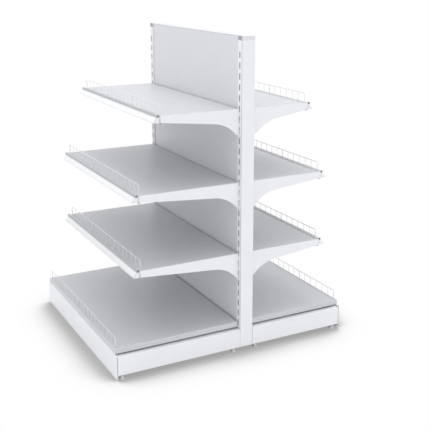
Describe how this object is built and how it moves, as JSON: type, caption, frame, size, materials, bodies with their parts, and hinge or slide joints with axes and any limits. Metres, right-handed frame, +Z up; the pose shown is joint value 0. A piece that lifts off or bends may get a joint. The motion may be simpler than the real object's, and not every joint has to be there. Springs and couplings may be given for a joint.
{
  "type": "gondola shelving",
  "caption": "Double-sided shop gondola bay: slotted uprights, back panels, hooked curved brackets, folded shelves with price rails and wire risers, base legs and kickplates.",
  "frame": {"origin": "floor level, under the middle of the outline", "axes": "+Z up, +X along the bay towards the near end in the picture, -Y towards the deeper (left) side"},
  "size_m": [1.04, 1.23, 1.537],
  "materials": {
    "white_paint": "satin powder coat, fine orange peel",
    "shelf_paint": "satin powder coat on thin folded sheet",
    "zinc_wire": "zinc plated",
    "rail_grey": "extruded off white plastic",
    "cap_grey": "moulded grey plastic"
  },
  "bodies": {
    "frame": {"upright_near": "white_paint", "upright_far": "white_paint", "upright_cap_near": "cap_grey", "upright_cap_far": "cap_grey", "lower_rail_bar": "shelf_paint", "upper_rail_bar": "shelf_paint", "back_panel_left_low": "shelf_paint", "back_panel_left_high": "shelf_paint", "back_panel_right_low": "shelf_paint", "back_panel_right_high": "shelf_paint", "base_leg_left_near": "white_paint", "base_leg_left_far": "white_paint", "base_leg_right_near": "white_paint", "base_leg_right_far": "white_paint", "bracket_left_1_near": "white_paint", "bracket_left_1_far": "white_paint", "bracket_left_2_near": "white_paint", "bracket_left_2_far": "white_paint", "bracket_left_3_near": "white_paint", "bracket_left_3_far": "white_paint", "bracket_right_1_near": "white_paint", "bracket_right_1_far": "white_paint", "bracket_right_2_near": "white_paint", "bracket_right_2_far": "white_paint", "bracket_right_3_near": "white_paint", "bracket_right_3_far": "white_paint"},
    "base_shelf_left_unit": {"base_shelf_left": "shelf_paint"},
    "riser_left_0_unit": {"riser_left_0": "zinc_wire"},
    "shelf_left_1_unit": {"shelf_left_1": "shelf_paint", "price_rail_left_1": "rail_grey"},
    "riser_left_1_unit": {"riser_left_1": "zinc_wire"},
    "shelf_left_2_unit": {"shelf_left_2": "shelf_paint", "price_rail_left_2": "rail_grey"},
    "riser_left_2_unit": {"riser_left_2": "zinc_wire"},
    "shelf_left_3_unit": {"shelf_left_3": "shelf_paint", "price_rail_left_3": "rail_grey"},
    "riser_left_3_unit": {"riser_left_3": "zinc_wire"},
    "kickplate_left_unit": {"kickplate_left": "white_paint"},
    "base_shelf_right_unit": {"base_shelf_right": "shelf_paint"},
    "riser_right_0_unit": {"riser_right_0": "zinc_wire"},
    "shelf_right_1_unit": {"shelf_right_1": "shelf_paint", "price_rail_right_1": "rail_grey"},
    "riser_right_1_unit": {"riser_right_1": "zinc_wire"},
    "shelf_right_2_unit": {"shelf_right_2": "shelf_paint", "price_rail_right_2": "rail_grey"},
    "riser_right_2_unit": {"riser_right_2": "zinc_wire"},
    "shelf_right_3_unit": {"shelf_right_3": "shelf_paint", "price_rail_right_3": "rail_grey"},
    "riser_right_3_unit": {"riser_right_3": "zinc_wire"},
    "kickplate_right_unit": {"kickplate_right": "white_paint"},
    "foot_left_near_front_unit": {"foot_left_near_front": "zinc_wire"},
    "foot_left_near_rear_unit": {"foot_left_near_rear": "zinc_wire"},
    "foot_left_far_front_unit": {"foot_left_far_front": "zinc_wire"},
    "foot_left_far_rear_unit": {"foot_left_far_rear": "zinc_wire"},
    "foot_right_near_front_unit": {"foot_right_near_front": "zinc_wire"},
    "foot_right_near_rear_unit": {"foot_right_near_rear": "zinc_wire"},
    "foot_right_far_front_unit": {"foot_right_far_front": "zinc_wire"},
    "foot_right_far_rear_unit": {"foot_right_far_rear": "zinc_wire"}
  },
  "joints": [
    {"name": "lift_base_shelf_left", "type": "slide", "parent": "frame", "child": "base_shelf_left_unit", "axis": [0, 0, 1], "range_m": [0, 0.12]},
    {"name": "lift_riser_left_0", "type": "slide", "parent": "base_shelf_left_unit", "child": "riser_left_0_unit", "axis": [0, 0, 1], "range_m": [0, 0.08]},
    {"name": "lift_shelf_left_1", "type": "slide", "parent": "frame", "child": "shelf_left_1_unit", "axis": [0, 0, 1], "range_m": [0, 0.1]},
    {"name": "lift_riser_left_1", "type": "slide", "parent": "shelf_left_1_unit", "child": "riser_left_1_unit", "axis": [0, 0, 1], "range_m": [0, 0.08]},
    {"name": "lift_shelf_left_2", "type": "slide", "parent": "frame", "child": "shelf_left_2_unit", "axis": [0, 0, 1], "range_m": [0, 0.1]},
    {"name": "lift_riser_left_2", "type": "slide", "parent": "shelf_left_2_unit", "child": "riser_left_2_unit", "axis": [0, 0, 1], "range_m": [0, 0.08]},
    {"name": "lift_shelf_left_3", "type": "slide", "parent": "frame", "child": "shelf_left_3_unit", "axis": [0, 0, 1], "range_m": [0, 0.1]},
    {"name": "lift_riser_left_3", "type": "slide", "parent": "shelf_left_3_unit", "child": "riser_left_3_unit", "axis": [0, 0, 1], "range_m": [0, 0.08]},
    {"name": "pull_kickplate_left", "type": "slide", "parent": "frame", "child": "kickplate_left_unit", "axis": [0, -1, 0], "range_m": [0, 0.08]},
    {"name": "lift_base_shelf_right", "type": "slide", "parent": "frame", "child": "base_shelf_right_unit", "axis": [0, 0, 1], "range_m": [0, 0.12]},
    {"name": "lift_riser_right_0", "type": "slide", "parent": "base_shelf_right_unit", "child": "riser_right_0_unit", "axis": [0, 0, 1], "range_m": [0, 0.08]},
    {"name": "lift_shelf_right_1", "type": "slide", "parent": "frame", "child": "shelf_right_1_unit", "axis": [0, 0, 1], "range_m": [0, 0.1]},
    {"name": "lift_riser_right_1", "type": "slide", "parent": "shelf_right_1_unit", "child": "riser_right_1_unit", "axis": [0, 0, 1], "range_m": [0, 0.08]},
    {"name": "lift_shelf_right_2", "type": "slide", "parent": "frame", "child": "shelf_right_2_unit", "axis": [0, 0, 1], "range_m": [0, 0.1]},
    {"name": "lift_riser_right_2", "type": "slide", "parent": "shelf_right_2_unit", "child": "riser_right_2_unit", "axis": [0, 0, 1], "range_m": [0, 0.08]},
    {"name": "lift_shelf_right_3", "type": "slide", "parent": "frame", "child": "shelf_right_3_unit", "axis": [0, 0, 1], "range_m": [0, 0.1]},
    {"name": "lift_riser_right_3", "type": "slide", "parent": "shelf_right_3_unit", "child": "riser_right_3_unit", "axis": [0, 0, 1], "range_m": [0, 0.08]},
    {"name": "pull_kickplate_right", "type": "slide", "parent": "frame", "child": "kickplate_right_unit", "axis": [0, 1, 0], "range_m": [0, 0.08]},
    {"name": "adjust_foot_left_near_front", "type": "slide", "parent": "frame", "child": "foot_left_near_front_unit", "axis": [0, 0, 1], "range_m": [-0.015, 0.008]},
    {"name": "adjust_foot_left_near_rear", "type": "slide", "parent": "frame", "child": "foot_left_near_rear_unit", "axis": [0, 0, 1], "range_m": [-0.015, 0.008]},
    {"name": "adjust_foot_left_far_front", "type": "slide", "parent": "frame", "child": "foot_left_far_front_unit", "axis": [0, 0, 1], "range_m": [-0.015, 0.008]},
    {"name": "adjust_foot_left_far_rear", "type": "slide", "parent": "frame", "child": "foot_left_far_rear_unit", "axis": [0, 0, 1], "range_m": [-0.015, 0.008]},
    {"name": "adjust_foot_right_near_front", "type": "slide", "parent": "frame", "child": "foot_right_near_front_unit", "axis": [0, 0, 1], "range_m": [-0.015, 0.008]},
    {"name": "adjust_foot_right_near_rear", "type": "slide", "parent": "frame", "child": "foot_right_near_rear_unit", "axis": [0, 0, 1], "range_m": [-0.015, 0.008]},
    {"name": "adjust_foot_right_far_front", "type": "slide", "parent": "frame", "child": "foot_right_far_front_unit", "axis": [0, 0, 1], "range_m": [-0.015, 0.008]},
    {"name": "adjust_foot_right_far_rear", "type": "slide", "parent": "frame", "child": "foot_right_far_rear_unit", "axis": [0, 0, 1], "range_m": [-0.015, 0.008]}
  ]
}
